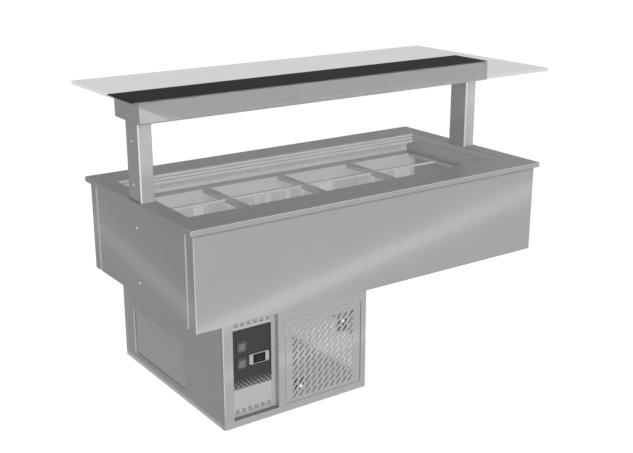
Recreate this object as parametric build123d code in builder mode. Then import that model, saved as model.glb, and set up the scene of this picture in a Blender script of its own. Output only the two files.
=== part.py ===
"""Refrigerated serving counter: a fan-cooled cold well with lift-out pan bars under a lit
canopy with a glass shelf, carried by a boxed condensing unit that sits left of its middle.

Millimetres. X runs along the counter, Y from the control side to the back, Z up from the floor.
"""
import os
from math import cos, radians, sin

from build123d import *

# Overall sizes
rim_length = 1530.0
rim_depth = 812.0
unit_height = 384.0
body_height = 352.0
post_height = 276.0

# Sheet metal
sheet = 1.5
bend_radius = 5.0

# Counter rim
rim_lip = 18.0
rim_overhang = 15.0
rim_edge_radius = 3.0
opening_length = 1394.0
opening_depth = 542.0
opening_shift = 3.5
inner_lip = 25.0
inner_edge_radius = 1.2
rear_lip = 40.0
rear_lip_thickness = 4.0
groove_count = 2
groove_height = 3.0
groove_depth = 1.5

# Well body
panel_return = 45.0
groove_gap = 12.0
groove_reach = 9.0
wall_insulation = 38.0
floor_insulation = 43.0

# Air ducts inside the tank
ledge_drop = 82.0
rear_duct_recess = 42.0
front_duct_recess = 34.0
bay_overlap = 14.5
duct_slot_width = 2.0
duct_slot_height = 22.0
duct_slot_pitch = 14.0
duct_slot_margin = 30.0
inlet_height = 60.0
inlet_foot = 60.0

# Pan bars
bar_pitch = 339.0
bar_width = 35.0
bar_height = 12.0
bar_edge_radius = 2.5
bar_tongue = 10.0
bar_clearance = 0.5
column_bar_count = 5
third_pan_length = 176.7
row_bar_width = 14.0
row_bar_height = 10.0
row_tongue = 12.0

# Evaporator
coil_length = 900.0
coil_depth = 150.0
coil_height = 86.0
coil_lift = 8.0
coil_plate = 2.0
coil_setback = 40.0
coil_tube_radius = 5.0
fin_thickness = 0.8
evaporator_fin_pitch = 14.0
coil_bend_count = 3
evaporator_fan_spread = 250.0
evaporator_fan_radius = 38.0
evaporator_motor_radius = 18.0
evaporator_motor_length = 32.0
fan_plate_gap = 60.0
fan_plate_flange = 20.0

# Fans in common
blade_count = 5
blade_thickness = 1.6
blade_pitch = 30.0
hub_share_of_motor = 0.8
tip_clearance = 4.0
shaft_radius = 3.0
shaft_clearance = 0.05
shaft_engagement = 14.0
fan_standoff = 3.0
arm_count = 3
arm_width = 8.0
arm_thickness = 6.0
arm_landing = 9.0

# Drain
drain_x = 260.0
drain_y = -120.0
drain_radius = 20.0
drain_neck_radius = 23.0
drain_wall = 3.0
drain_length = 45.0
drain_flange_radius = 32.0

# Posts
post_width = 52.0
post_depth = 95.0
post_wall = 2.0
post_corner_radius = 6.0
post_inset = 11.0
post_shift = 3.5
spigot_wall = 3.0
spigot_height = 92.0
spigot_clearance = 0.25
post_screw_height = 56.0
post_screw_drop = 70.0

# Canopy and shelf
canopy_length = 1533.0
canopy_depth = 189.0
canopy_height = 70.0
canopy_shift = 4.0
canopy_flange = 40.0
canopy_end_reach = 84.0
diffuser_thickness = 3.0
diffuser_overlap = 10.0
lamp_length = 1240.0
lamp_width = 34.0
lamp_height = 14.0
pad_length = 1566.0
pad_depth = 191.0
pad_thickness = 2.0
pad_shift = 23.0
glass_length = 1602.0
glass_depth = 770.0
glass_thickness = 12.0
glass_shift = -1.0
glass_corner_radius = 8.0
glass_edge_chamfer = 1.0

# Condensing unit box
unit_length = 594.0
unit_offset = 350.0
unit_setback = 14.0
base_sheet = 3.0
base_flange = 18.0
corner_return = 25.0
left_stile = 37.0
centre_stile = 30.0
right_stile = 27.0
bottom_rail = 26.0
top_rail = 4.0
grille_bottom = 31.0
grille_top_rail = 45.0
grille_gap = 3.0
grille_depth = 8.0
grille_edge_radius = 3.0
grille_ledge = 10.0
cassette_width = 180.0

# Recess with the access panel on the left side
access_front = 280.0
access_back = 82.0
access_bottom = 34.0
access_height = 184.0
access_depth = 6.0

# Slanted slots of the grilles
slot_length = 30.0
slot_width = 7.0
slot_angle = 50.0
slot_pitch_x = 26.5
slot_pitch_z = 25.0
grille_slot_columns = 10
grille_slot_rows = 11
grille_slot_shift_x = -3.5
grille_slot_shift_z = -5.5
rear_slot_columns = 14
rear_slot_rows = 6
rear_slot_height = 250.0

# Controls
cassette_recess = 24.0
label_width = 150.0
label_height = 216.0
label_bottom = 127.0
label_thickness = 0.8
vent_columns = 6
vent_rows = 2
vent_pitch = 25.0
vent_row_pitch = 8.0
vent_length = 16.0
vent_width = 3.5
vent_edge = 18.0
switch_width = 36.0
switch_height = 41.0
switch_flange = 3.0
switch_corner_radius = 8.0
switch_edge_radius = 1.2
switch_body_width = 28.0
switch_body_height = 34.0
switch_body_depth = 26.0
switch_left = 29.0
switch_top = 61.0
switch_pitch = 61.5
rocker_width = 24.0
rocker_half_height = 13.6
rocker_side_clearance = 0.3
rocker_end_clearance = 1.5
rocker_tilt = 7.0
rocker_nose = 7.0
rocker_dip = 4.5
rocker_tail = 5.0
rocker_tail_half = 6.0
pivot_depth = 5.0
pivot_radius = 2.0
pivot_length = 1.4
controller_width = 77.5
controller_height = 36.0
controller_depth = 5.0
controller_body_width = 68.0
controller_body_height = 28.0
controller_body_depth = 46.0
controller_left = 75.0
controller_top = 117.0
cutout_clearance = 0.3
window_width = 49.0
window_height = 33.0
window_thickness = 1.2
key_width = 9.0
key_height = 11.0
key_length = 3.4
key_proud = 1.0
key_pocket = 4.0
key_clearance = 0.3
key_spread_x = 31.6
key_spread_z = 8.0
electric_box_width = 164.0
electric_box_height = 236.0
electric_box_depth = 62.0
electric_box_bottom = 112.0

# Refrigeration parts in the unit
condenser_width = 300.0
condenser_height = 286.0
condenser_depth = 60.0
condenser_gap = 8.0
condenser_fin_pitch = 7.5
condenser_tube_columns = 2
condenser_tube_rows = 8
condenser_fan_radius = 112.0
shroud_depth = 48.0
condenser_motor_radius = 38.0
condenser_motor_length = 60.0
compressor_x = -420.0
compressor_y = 170.0
compressor_radius = 100.0
compressor_shell = 216.0
compressor_dome = 46.0
compressor_foot = 18.0
compressor_foot_radius = 14.0
compressor_plate = 4.0
compressor_plate_size = 214.0
compressor_plate_corner = 20.0
stub_radius = 11.0
stub_length = 16.0
suction_radius = 8.0
liquid_radius = 5.0
discharge_radius = 6.0
pipe_bend = 26.0
pipe_gap = 34.0
pipe_run_x = -600.0
pipe_clearance = 0.5
suction_height = 150.0
liquid_height = 60.0
discharge_clearance = 14.0
gland_x = -590.0
gland_z = 60.0
gland_radius = 13.0
gland_bore = 6.0
gland_length = 14.0
gland_nut_radius = 17.0
gland_nut_length = 7.0

# Screws
screw_head_radius = 5.0
screw_head_height = 2.4
screw_radius = 2.4
screw_clearance = 0.2
end_screw_low = 54.0
end_screw_high = 255.0
end_screw_y = 6.5
grille_screw_shift = -9.5
grille_screw_x = 90.5
grille_screw_z = 101.0

# Heights and planes worked out from the sizes above
rim_top = unit_height + body_height
deck_under = rim_top - sheet
skin_height = deck_under - unit_height
body_length = rim_length - 2 * rim_overhang
body_depth = rim_depth - 2 * rim_overhang
opening_front = opening_shift - opening_depth / 2
opening_back = opening_shift + opening_depth / 2
tank_length = opening_length + 2 * sheet
tank_depth = body_depth - 2 * (2 * sheet + wall_insulation)
tank_floor = unit_height + 2 * sheet + floor_insulation
ledge_top = rim_top - ledge_drop
bay_back = opening_back - bay_overlap
bay_front = opening_front + bay_overlap
rear_duct_face = opening_back + rear_duct_recess
front_duct_face = opening_front - front_duct_recess
bar_top = ledge_top + sheet
row_bar_y = bay_back + bar_tongue - third_pan_length
canopy_bottom = rim_top + post_height
canopy_top = canopy_bottom + canopy_height
post_centre_x = rim_length / 2 - post_inset - post_width / 2
unit_front = -body_depth / 2 + unit_setback
unit_back = body_depth / 2
unit_depth = unit_back - unit_front
unit_left = -unit_offset - unit_length / 2
unit_right = -unit_offset + unit_length / 2
unit_centre_y = (unit_front + unit_back) / 2
unit_wall = unit_height - base_sheet
cassette_left = unit_left + left_stile
cassette_height = unit_height - top_rail - bottom_rail
cassette_x = cassette_left + cassette_width / 2
cassette_z = bottom_rail + cassette_height / 2
cassette_face = unit_front + cassette_recess
label_face = cassette_face - label_thickness
label_top = label_bottom + label_height
grille_left = cassette_left + cassette_width + centre_stile
grille_width = unit_right - right_stile - grille_left
grille_height = unit_height - grille_top_rail - grille_bottom
grille_x = grille_left + grille_width / 2
grille_z = grille_bottom + grille_height / 2
switch_x = cassette_left + switch_left + switch_width / 2
switch_z = label_top - switch_top
controller_x = cassette_left + controller_left + controller_width / 2
controller_z = label_top - controller_top
suction_y = compressor_y
liquid_y = suction_y - pipe_gap
coil_front = bay_back - coil_setback - coil_depth
fan_plate_y = coil_front - fan_plate_gap
evaporator_fan_z = tank_floor + coil_lift + coil_height / 2
condenser_front = unit_front + 2 * sheet + condenser_gap
shroud_y = condenser_front + condenser_depth
condenser_fan_z = base_sheet + condenser_height / 2
compressor_base = base_sheet + compressor_foot + compressor_plate
compressor_top = compressor_base + compressor_shell

FRONT = -1
BACK = 1
LEFT = -1
RIGHT = 1


def write(piece, name):
    """Label a finished piece and write it to its own file."""
    piece.label = name
    export_step(piece, f"parts/{name}.step")


def skin_ring(length, depth):
    """Add a folded skin, one sheet thick with rounded corners, to the open sketch."""
    RectangleRounded(length, depth, bend_radius)
    RectangleRounded(length - 2 * sheet, depth - 2 * sheet, bend_radius - sheet, mode=Mode.SUBTRACT)


def slanted_slots(columns, rows):
    """Add a field of slanted round-ended slots to the open sketch."""
    with GridLocations(slot_pitch_x, slot_pitch_z, columns, rows):
        SlotOverall(slot_length, slot_width, rotation=slot_angle)


def floor_holes():
    """Cut the holes for the two pipes and the drain out of the open sketch."""
    with Locations((pipe_run_x, suction_y)):
        Circle(suction_radius + pipe_clearance, mode=Mode.SUBTRACT)
    with Locations((pipe_run_x, liquid_y)):
        Circle(liquid_radius + pipe_clearance, mode=Mode.SUBTRACT)
    with Locations((drain_x, drain_y)):
        Circle(drain_neck_radius + pipe_clearance, mode=Mode.SUBTRACT)


def front_plane(y):
    """Plane that looks like the front view: X to the right, Z up, extruding towards the viewer."""
    return Plane(origin=(0, y, 0), x_dir=(1, 0, 0), z_dir=(0, -1, 0))


os.makedirs("parts", exist_ok=True)

# Counter rim: the deck with its turned-down outer edge, the lip round the well opening
# and the deeper grooved fascia along the back of the opening
with BuildPart() as counter_rim:
    with BuildSketch(Plane.XY.offset(rim_top)):
        RectangleRounded(rim_length, rim_depth, bend_radius)
    extrude(amount=-rim_lip)
    fillet(counter_rim.edges().group_by(Axis.Z)[-1], rim_edge_radius)
    offset(amount=-sheet, openings=counter_rim.faces().sort_by(Axis.Z)[0])
    with BuildSketch(Plane.XY.offset(rim_top)):
        with Locations((0, opening_shift)):
            Rectangle(opening_length, opening_depth)
    extrude(amount=-rim_lip, mode=Mode.SUBTRACT)
    with BuildSketch(Plane.XY.offset(deck_under)):
        with Locations((0, opening_shift)):
            Rectangle(opening_length + 2 * sheet, opening_depth + 2 * sheet)
            Rectangle(opening_length, opening_depth, mode=Mode.SUBTRACT)
    extrude(amount=-(inner_lip - sheet))
    with BuildSketch(Plane.YZ):
        with Locations((opening_back + rear_lip_thickness / 2, deck_under - (rear_lip - sheet) / 2)):
            Rectangle(rear_lip_thickness, rear_lip - sheet)
        for groove in range(groove_count):
            groove_z = rim_top - rear_lip * (groove + 1) / (groove_count + 1)
            with Locations((opening_back + groove_depth / 2, groove_z)):
                Rectangle(groove_depth, groove_height, mode=Mode.SUBTRACT)
    extrude(amount=opening_length / 2 + sheet, both=True)
    with BuildSketch(Plane.YZ):
        for groove in range(groove_count):
            groove_z = rim_top - rear_lip * (groove + 1) / (groove_count + 1)
            with Locations((opening_back + groove_depth / 2, groove_z)):
                Rectangle(groove_depth, groove_height)
    extrude(amount=opening_length / 2, both=True, mode=Mode.SUBTRACT)
    deck = counter_rim.faces().sort_by(Axis.Z)[-1]
    fillet(deck.inner_wires()[0].edges(), inner_edge_radius)
write(counter_rim.part, "counter_rim")


return_end = body_depth / 2 - panel_return


def groove_notches():
    """Cut room for the end panels' upright grooves out of the open sketch."""
    notch_x = (body_length - groove_reach - sheet) / 2
    notch_y = return_end - groove_gap / 2
    with Locations(*[(end * notch_x, side * notch_y) for end in (LEFT, RIGHT) for side in (FRONT, BACK)]):
        Rectangle(groove_reach + sheet, groove_gap + 2 * sheet, mode=Mode.SUBTRACT)


def wrap_panel(side):
    """Front or back panel of the well body, folded round both corners, its ends turned inwards."""
    with BuildPart() as panel:
        with BuildSketch(Plane.XY.offset(unit_height)):
            skin_ring(body_length, body_depth)
            with Locations((0, side * (body_depth - panel_return) / 2)):
                Rectangle(body_length, panel_return, mode=Mode.INTERSECT)
            hem_x = (body_length - groove_reach) / 2
            hem_y = side * (return_end + sheet / 2)
            with Locations((-hem_x, hem_y), (hem_x, hem_y)):
                Rectangle(groove_reach, sheet)
        extrude(amount=skin_height)
    return panel.part


write(wrap_panel(FRONT), "front_panel")
write(wrap_panel(BACK), "rear_panel")


def end_panel(side):
    """End panel of the well body, flush with the folded corners; its edges turn inwards and out
    again, so that an upright groove is left beside each corner."""
    face = side * body_length / 2
    outward = Plane(origin=(face, 0, unit_height), x_dir=(0, side, 0), z_dir=(side, 0, 0))
    field_half = return_end - groove_gap
    bottom_span = groove_gap + 2 * sheet
    with BuildPart() as panel:
        with BuildSketch(Plane.XY.offset(unit_height)):
            with Locations((face - side * sheet / 2, 0)):
                Rectangle(sheet, 2 * field_half)
            for end in (FRONT, BACK):
                with Locations((face - side * groove_reach / 2, end * (field_half - sheet / 2))):
                    Rectangle(groove_reach, sheet)
                bottom_x = face - side * (groove_reach + sheet / 2)
                with Locations((bottom_x, end * (return_end - groove_gap / 2))):
                    Rectangle(sheet, bottom_span)
        extrude(amount=skin_height)
        with BuildSketch(outward):
            with Locations((side * end_screw_y, end_screw_low), (side * end_screw_y, end_screw_high)):
                Circle(screw_radius + screw_clearance)
        extrude(amount=-sheet, mode=Mode.SUBTRACT)
    return panel.part


write(end_panel(LEFT), "left_end_panel")
write(end_panel(RIGHT), "right_end_panel")

# Base sheet under the foam, with the pipe hole and the drain hole
with BuildPart() as body_base:
    with BuildSketch(Plane.XY.offset(unit_height)):
        Rectangle(body_length - 2 * sheet, body_depth - 2 * bend_radius)
        groove_notches()
        floor_holes()
    extrude(amount=sheet)
write(body_base.part, "body_base")

# Foam between the outer panels and the tank
with BuildPart() as insulation:
    with BuildSketch(Plane.XY.offset(unit_height + sheet)):
        Rectangle(body_length - 2 * sheet, body_depth - 2 * bend_radius)
        groove_notches()
        floor_holes()
    extrude(amount=skin_height - sheet)
    with BuildSketch(Plane.XY.offset(tank_floor - sheet)):
        Rectangle(tank_length + 2 * sheet, tank_depth + 2 * sheet)
    extrude(amount=deck_under - tank_floor + sheet, mode=Mode.SUBTRACT)
write(insulation.part, "insulation")

# Tank: the open stainless box that hangs under the deck
with BuildPart() as well_tank:
    with BuildSketch(Plane.XY.offset(tank_floor - sheet)):
        Rectangle(tank_length + 2 * sheet, tank_depth + 2 * sheet)
        floor_holes()
    extrude(amount=deck_under - tank_floor + sheet)
    with BuildSketch(Plane.XY.offset(tank_floor)):
        Rectangle(tank_length, tank_depth)
    extrude(amount=deck_under - tank_floor, mode=Mode.SUBTRACT)
write(well_tank.part, "well_tank")


def duct_panel(side, bay_edge, duct_face):
    """Folded panel in front of an air duct: up from the floor, out along the ledge, up to the deck."""
    outer_face = duct_face + side * sheet
    with BuildPart() as duct:
        with BuildSketch(Plane.YZ):
            with BuildLine():
                Polyline(
                    (bay_edge, tank_floor),
                    (bay_edge, ledge_top),
                    (duct_face, ledge_top),
                    (duct_face, deck_under),
                    (outer_face, deck_under),
                    (outer_face, ledge_top - sheet),
                    (bay_edge + side * sheet, ledge_top - sheet),
                    (bay_edge + side * sheet, tank_floor),
                    close=True,
                )
            make_face()
        extrude(amount=tank_length / 2, both=True)
        slot_count = int((opening_length - 2 * duct_slot_margin) / duct_slot_pitch)
        with BuildSketch(front_plane(duct_face)):
            with Locations((0, (ledge_top + rim_top - rear_lip) / 2)):
                with GridLocations(duct_slot_pitch, duct_slot_pitch, slot_count, 1):
                    Rectangle(duct_slot_width, duct_slot_height)
        extrude(amount=-side * sheet, mode=Mode.SUBTRACT)
        with BuildSketch(front_plane(bay_edge)):
            with Locations((0, tank_floor + inlet_height / 2)):
                Rectangle(tank_length - 2 * inlet_foot, inlet_height)
        extrude(amount=-side * sheet, mode=Mode.SUBTRACT)
    return duct.part


write(duct_panel(BACK, bay_back, rear_duct_face), "supply_duct")
write(duct_panel(FRONT, bay_front, front_duct_face), "return_duct")


def hung_bar(length, width, height, tongue, top):
    """Folded bar along X that hangs between two ledges by the tongues of its top sheet."""
    with BuildPart() as bar:
        with BuildSketch(Plane.YZ) as section:
            with Locations((0, top - height / 2)):
                Rectangle(width, height)
            fillet(section.vertices().group_by(Axis.Y)[-1], bar_edge_radius)
            with Locations((0, top - sheet - height / 2)):
                Rectangle(width - 2 * sheet, height, mode=Mode.SUBTRACT)
        extrude(amount=length / 2, both=True)
        with BuildSketch(Plane.XY.offset(top)):
            Rectangle(length + 2 * tongue, width - 2 * bar_edge_radius)
        extrude(amount=-sheet)
    return bar.part


bay_length = bay_back - bay_front
column_bar = hung_bar(bay_length - 2 * bar_clearance, bar_width, bar_height, bar_tongue, bar_top)
for index in range(column_bar_count):
    bar_x = (index - (column_bar_count - 1) / 2) * bar_pitch
    bar_place = Location((bar_x, (bay_back + bay_front) / 2, 0), (0, 0, 90))
    write(column_bar.moved(bar_place), f"column_bar_{index + 1}")

row_span = bar_pitch - bar_width
row_bar = hung_bar(row_span - 2 * bar_clearance, row_bar_width, row_bar_height, row_tongue, bar_top + sheet)
for index in range(column_bar_count - 1):
    bar_x = (index + 1 - (column_bar_count - 1) / 2) * bar_pitch - bar_pitch / 2
    write(row_bar.moved(Location((bar_x, row_bar_y, 0))), f"row_bar_{index + 1}")

def finned_coil(centre, length, depth, height, fin_pitch, tube_columns, tube_rows):
    """Row of fins on straight tubes, between two end plates that stand below the fins."""
    foot = Plane(origin=centre)
    fin_count = int((length - 2 * coil_plate) / fin_pitch)
    with BuildPart() as coil:
        with BuildSketch(foot.offset(coil_lift)):
            with GridLocations(fin_pitch, fin_pitch, fin_count, 1):
                Rectangle(fin_thickness, depth)
        extrude(amount=height)
        with BuildSketch(foot):
            with GridLocations(length - coil_plate, depth, 2, 1):
                Rectangle(coil_plate, depth)
        extrude(amount=coil_lift + height)
        middle = foot.offset(coil_lift + height / 2).origin
        with BuildSketch(Plane(middle, x_dir=(0, 1, 0), z_dir=(1, 0, 0))):
            with GridLocations(depth / tube_columns, height / tube_rows, tube_columns, tube_rows):
                Circle(coil_tube_radius)
        extrude(amount=length / 2, both=True)
    return coil.part


# Evaporator on the tank floor, with return bends at its right-hand end
with BuildPart() as evaporator_coil:
    add(
        finned_coil(
            (0, coil_front + coil_depth / 2, tank_floor),
            coil_length,
            coil_depth,
            coil_height,
            evaporator_fin_pitch,
            2 * coil_bend_count,
            1,
        )
    )
    bend_pitch = coil_depth / coil_bend_count
    for index in range(coil_bend_count):
        bend_centre = (coil_length / 2, coil_front + bend_pitch * (index + 0.5), evaporator_fan_z)
        with BuildSketch(Plane(bend_centre, x_dir=(0, 1, 0), z_dir=(1, 0, 0))):
            with Locations((bend_pitch / 4, 0)):
                Circle(coil_tube_radius)
        revolve(axis=Axis(bend_centre, (0, 0, 1)), revolution_arc=-180)
write(evaporator_coil.part, "evaporator_coil")


def fan_motor(x, z, plate_face, side, radius, length, fan_radius):
    """Motor on three arms that land on the face of the plate round the fan's hole."""
    back = Plane(origin=(x, plate_face, z), x_dir=(1, 0, 0), z_dir=(0, side, 0))
    arm_reach = fan_radius + tip_clearance + arm_landing
    with BuildPart() as motor:
        with BuildSketch(back):
            with PolarLocations(arm_reach / 2, arm_count, start_angle=90):
                Rectangle(arm_reach, arm_width)
        extrude(amount=arm_thickness)
        with BuildSketch(back.offset(fan_standoff)):
            Circle(radius)
        extrude(amount=length)
        with BuildSketch(back):
            Circle(shaft_radius + shaft_clearance)
        extrude(amount=fan_standoff + shaft_engagement, mode=Mode.SUBTRACT)
    return motor.part


def fan_rotor(x, z, plate_face, side, radius, hub_radius):
    """Fan wheel in the plate's hole: hub, tilted blades and the shaft that runs in the motor."""
    back = Plane(origin=(x, plate_face - side * fan_standoff / 3, z), x_dir=(1, 0, 0), z_dir=(0, -side, 0))
    depth = hub_radius
    blade_chord = depth / sin(radians(90 - blade_pitch))
    root = hub_radius - blade_thickness
    with BuildPart() as rotor:
        with BuildSketch(back):
            Circle(hub_radius)
        extrude(amount=depth)
        with BuildSketch(back):
            Circle(shaft_radius)
        extrude(amount=-(fan_standoff + shaft_engagement) * 0.9)
        for index in range(blade_count):
            turn = radians(360 * index / blade_count)
            outward = Vector(cos(turn), 0, sin(turn))
            spin = Vector(-sin(turn), 0, cos(turn))
            lean = radians(blade_pitch)
            along = Vector(0, -side, 0) * cos(lean) + spin * sin(lean)
            start = Vector(x, back.origin.Y - side * depth / 2, z) + outward * root
            with BuildSketch(Plane(origin=start, x_dir=along, z_dir=outward)):
                Rectangle(blade_chord * cos(lean) * cos(lean), blade_thickness)
            extrude(amount=radius - root)
    return rotor.part


# Fan plate: the bulkhead in front of the evaporator, with a foot along its lower edge
with BuildPart() as fan_plate:
    with BuildSketch(front_plane(fan_plate_y)):
        with Locations((0, tank_floor + (coil_lift + coil_height) / 2)):
            Rectangle(coil_length, coil_lift + coil_height)
        with Locations((0, evaporator_fan_z)):
            with GridLocations(2 * evaporator_fan_spread, evaporator_fan_spread, 2, 1):
                Circle(evaporator_fan_radius + tip_clearance, mode=Mode.SUBTRACT)
    extrude(amount=-sheet)
    with BuildSketch(Plane.XY.offset(tank_floor)):
        with Locations((0, fan_plate_y + fan_plate_flange / 2)):
            Rectangle(coil_length, fan_plate_flange)
    extrude(amount=sheet)
    with BuildSketch(Plane.XY.offset(tank_floor + coil_lift + coil_height)):
        with Locations((0, (fan_plate_y + coil_front + coil_depth) / 2)):
            Rectangle(coil_length, coil_front + coil_depth - fan_plate_y)
    extrude(amount=sheet)
write(fan_plate.part, "fan_plate")

motors = Part()
for name, fan_x in (("left", -evaporator_fan_spread), ("right", evaporator_fan_spread)):
    motors += fan_motor(
        fan_x,
        evaporator_fan_z,
        fan_plate_y,
        FRONT,
        evaporator_motor_radius,
        evaporator_motor_length,
        evaporator_fan_radius,
    )
    wheel = fan_rotor(
        fan_x,
        evaporator_fan_z,
        fan_plate_y,
        FRONT,
        evaporator_fan_radius,
        evaporator_motor_radius * hub_share_of_motor,
    )
    write(wheel, f"evaporator_fan_{name}")
write(motors, "evaporator_motors")

# Drain spigot: flange on the tank floor and a tail below the body for a hose
with BuildPart() as drain_spigot:
    drain_top = Plane(origin=(drain_x, drain_y, tank_floor))
    with BuildSketch(drain_top):
        Circle(drain_flange_radius)
    extrude(amount=sheet)
    with BuildSketch(drain_top):
        Circle(drain_neck_radius)
    extrude(amount=-(tank_floor - unit_height))
    with BuildSketch(drain_top.offset(unit_height - tank_floor)):
        Circle(drain_radius)
    extrude(amount=-drain_length)
    with BuildSketch(drain_top.offset(sheet)):
        Circle(drain_radius - drain_wall)
    extrude(amount=-(tank_floor - unit_height + drain_length + sheet), mode=Mode.SUBTRACT)
write(drain_spigot.part, "drain_spigot")


def post(side):
    """Rectangular tube post with two screw holes in its outer face."""
    outer_x = side * (post_centre_x + post_width / 2)
    outer_face = Plane(origin=(outer_x, post_shift, 0), x_dir=(0, side, 0), z_dir=(side, 0, 0))
    with BuildPart() as tube:
        with BuildSketch(Plane.XY.offset(rim_top)):
            with Locations((side * post_centre_x, post_shift)):
                RectangleRounded(post_width, post_depth, post_corner_radius)
                RectangleRounded(
                    post_width - 2 * post_wall,
                    post_depth - 2 * post_wall,
                    post_corner_radius - post_wall,
                    mode=Mode.SUBTRACT,
                )
        extrude(amount=post_height)
        with BuildSketch(outer_face):
            with Locations((0, rim_top + post_screw_height), (0, canopy_bottom - post_screw_drop)):
                Circle(screw_radius + screw_clearance)
        extrude(amount=-post_wall, mode=Mode.SUBTRACT)
    return tube.part


write(post(LEFT), "left_post")
write(post(RIGHT), "right_post")

# Spigots: short tubes on the deck and under the canopy that the posts slide over
spigot_width = post_width - 2 * (post_wall + spigot_clearance)
spigot_depth = post_depth - 2 * (post_wall + spigot_clearance)
with BuildPart() as post_spigots:
    for bottom in (rim_top, canopy_bottom - spigot_height):
        with BuildSketch(Plane.XY.offset(bottom)):
            with Locations((-post_centre_x, post_shift), (post_centre_x, post_shift)):
                RectangleRounded(spigot_width, spigot_depth, post_corner_radius - post_wall)
                bore_depth = spigot_depth - 2 * spigot_wall
                Rectangle(spigot_width - 2 * spigot_wall, bore_depth, mode=Mode.SUBTRACT)
        extrude(amount=spigot_height)
    with BuildSketch(Plane.YZ):
        with Locations(
            (post_shift, rim_top + post_screw_height), (post_shift, canopy_bottom - post_screw_drop)
        ):
            Circle(screw_radius + screw_clearance)
    extrude(amount=post_centre_x + post_width, both=True, mode=Mode.SUBTRACT)
write(post_spigots.part, "post_spigots")

# Canopy: folded channel, open below between two flanges
with BuildPart() as canopy_housing:
    with BuildSketch(Plane.YZ):
        with Locations((canopy_shift, (canopy_bottom + canopy_top) / 2)):
            RectangleRounded(canopy_depth, canopy_height, bend_radius)
            RectangleRounded(
                canopy_depth - 2 * sheet, canopy_height - 2 * sheet, bend_radius - sheet, mode=Mode.SUBTRACT
            )
        with Locations((canopy_shift, canopy_bottom)):
            Rectangle(canopy_depth - 2 * canopy_flange, canopy_height, mode=Mode.SUBTRACT)
    extrude(amount=canopy_length / 2 - sheet, both=True)
write(canopy_housing.part, "canopy_housing")

# Canopy ends: end plate with a floor plate that lies on the flanges and takes the post
with BuildPart() as canopy_ends:
    for side in (LEFT, RIGHT):
        end_face = Plane(
            origin=(side * (canopy_length / 2 - sheet), canopy_shift, (canopy_bottom + canopy_top) / 2),
            x_dir=(0, side, 0),
            z_dir=(side, 0, 0),
        )
        with BuildSketch(end_face):
            RectangleRounded(canopy_depth, canopy_height, bend_radius)
        extrude(amount=sheet)
        with BuildSketch(Plane.XY.offset(canopy_bottom)):
            with Locations((side * (canopy_length / 2 - canopy_end_reach / 2), canopy_shift)):
                Rectangle(canopy_end_reach, canopy_depth - 2 * canopy_flange)
        extrude(amount=sheet)
write(canopy_ends.part, "canopy_ends")

# Lamp strip under the canopy's top sheet
with BuildPart() as lamp_strip:
    with BuildSketch(Plane.XY.offset(canopy_top - sheet)):
        with Locations((0, canopy_shift)):
            Rectangle(lamp_length, lamp_width)
    extrude(amount=-lamp_height)
    fillet(lamp_strip.edges().filter_by(Axis.X).group_by(Axis.Z)[0], lamp_height / 4)
write(lamp_strip.part, "lamp_strip")

# Diffuser: lies on the canopy's flanges between the end floor plates
with BuildPart() as lamp_diffuser:
    with BuildSketch(Plane.XY.offset(canopy_bottom + sheet)):
        with Locations((0, canopy_shift)):
            Rectangle(
                canopy_length - 2 * canopy_end_reach, canopy_depth - 2 * (canopy_flange - diffuser_overlap)
            )
    extrude(amount=diffuser_thickness)
write(lamp_diffuser.part, "lamp_diffuser")

# Black bonding band between the canopy and the glass
with BuildPart() as shelf_band:
    with BuildSketch(Plane.XY.offset(canopy_top)):
        with Locations((0, pad_shift)):
            Rectangle(pad_length, pad_depth)
    extrude(amount=pad_thickness)
write(shelf_band.part, "shelf_band")

# Glass shelf with rounded corners and a fine arris all round
with BuildPart() as glass_shelf:
    with BuildSketch(Plane.XY.offset(canopy_top + pad_thickness)):
        with Locations((0, glass_shift)):
            RectangleRounded(glass_length, glass_depth, glass_corner_radius)
    extrude(amount=glass_thickness)
    chamfer(glass_shelf.edges().group_by(Axis.Z)[-1], glass_edge_chamfer)
    chamfer(glass_shelf.edges().group_by(Axis.Z)[0], glass_edge_chamfer)
write(glass_shelf.part, "glass_shelf")

unit_plan = Plane(origin=(-unit_offset, unit_centre_y, base_sheet))

# Unit base: tray on the floor with an upstand inside the panels
with BuildPart() as unit_base:
    with BuildSketch(unit_plan):
        RectangleRounded(unit_length, unit_depth, bend_radius)
    extrude(amount=-base_sheet)
    with BuildSketch(unit_plan):
        Rectangle(unit_length - 2 * bend_radius, unit_depth - 2 * bend_radius)
        Rectangle(
            unit_length - 2 * (bend_radius + base_sheet),
            unit_depth - 2 * (bend_radius + base_sheet),
            mode=Mode.SUBTRACT,
        )
    extrude(amount=base_flange)
write(unit_base.part, "unit_base")

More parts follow.
